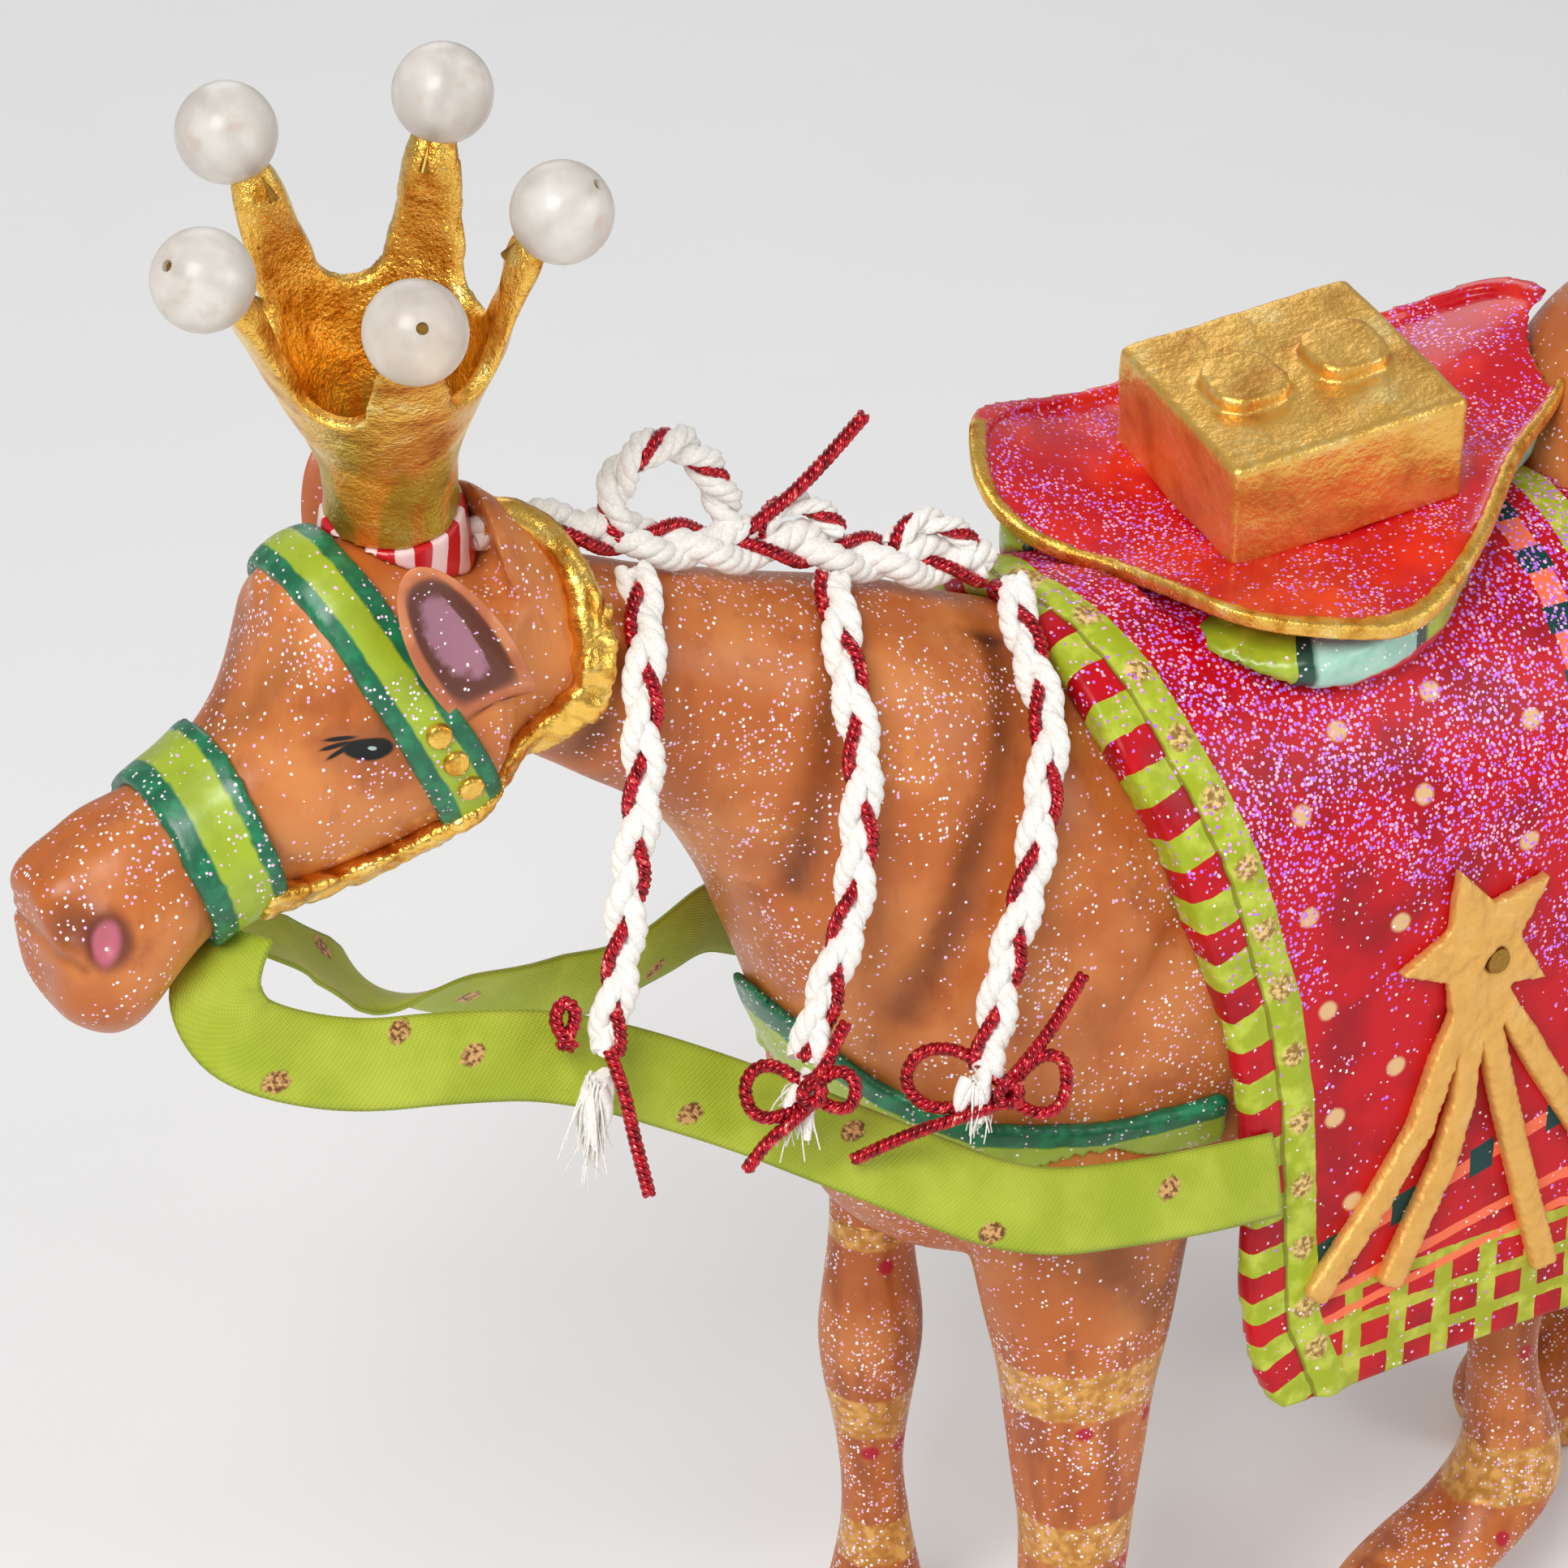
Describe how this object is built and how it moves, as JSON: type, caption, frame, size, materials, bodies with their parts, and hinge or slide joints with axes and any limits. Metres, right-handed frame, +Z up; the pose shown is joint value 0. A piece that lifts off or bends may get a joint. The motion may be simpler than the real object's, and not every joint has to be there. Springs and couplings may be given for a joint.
{
  "type": "crowned horse figure",
  "caption": "Standing crowned horse figure in painted casting, with a saddle dish and casket, a starred blanket, braided mane and ribbon reins.",
  "frame": {"origin": "centre of the bounding box on the ground under the four hooves", "axes": "+X from nose to tail, +Y to the animal's right side, +Z up"},
  "size_m": [0.2404, 0.0673, 0.2249],
  "materials": {
    "skin_paint": "hand-painted terracotta with shading and white glitter",
    "crown_gold": "gold leaf over casting, worn bright on the edges",
    "bead_frosted": "translucent frosted bead",
    "brass_pin": "drawn",
    "band_stripes": "red and white painted stripes",
    "strap_lime": "lime paint with dark green edges",
    "trim_gold": "gilded rope relief",
    "blanket_red": "red paint with magenta glitter and painted border",
    "star_gold": "gilded relief",
    "pad_segments": "lime and mint painted segments",
    "dish_red": "red glaze-like paint with a gold rim",
    "casket_gold": "polished gold paint",
    "cotton_yarn": "soft twisted cotton with red metallic cord",
    "bow_cord": "metallic red craft cord",
    "rein_ribbon": "woven lime ribbon with copper dots",
    "core_steel": "plain wire and dowel"
  },
  "bodies": {
    "root": {"bead_pins": "brass_pin", "braid_1": "cotton_yarn", "braid_2": "cotton_yarn", "braid_3": "cotton_yarn", "braid_bows": "bow_cord", "browband": "strap_lime", "browband_studs": "trim_gold", "casket_bosses": "casket_gold", "chest_strap": "strap_lime", "crown": "crown_gold", "crown_band": "band_stripes", "crown_bead_1": "bead_frosted", "crown_bead_2": "bead_frosted", "crown_bead_3": "bead_frosted", "crown_bead_4": "bead_frosted", "crown_bead_5": "bead_frosted", "crown_dowel": "core_steel", "ear_left": "skin_paint", "ear_right": "skin_paint", "foreleg_left": "skin_paint", "foreleg_right": "skin_paint", "gift_casket": "casket_gold", "halter_trim": "trim_gold", "head_casting": "skin_paint", "head_dowel": "core_steel", "hindleg_left": "skin_paint", "hindleg_right": "skin_paint", "leg_core_wires": "core_steel", "mane_braid": "cotton_yarn", "mane_loops": "cotton_yarn", "noseband": "strap_lime", "rein_left": "rein_ribbon", "rein_right": "rein_ribbon", "saddle_blanket": "blanket_red", "saddle_dish": "dish_red", "saddle_pad": "pad_segments", "star_left": "star_gold", "star_pins": "brass_pin", "star_right": "star_gold", "tail_casting": "skin_paint", "torso_casting": "skin_paint"}
  },
  "joints": []
}
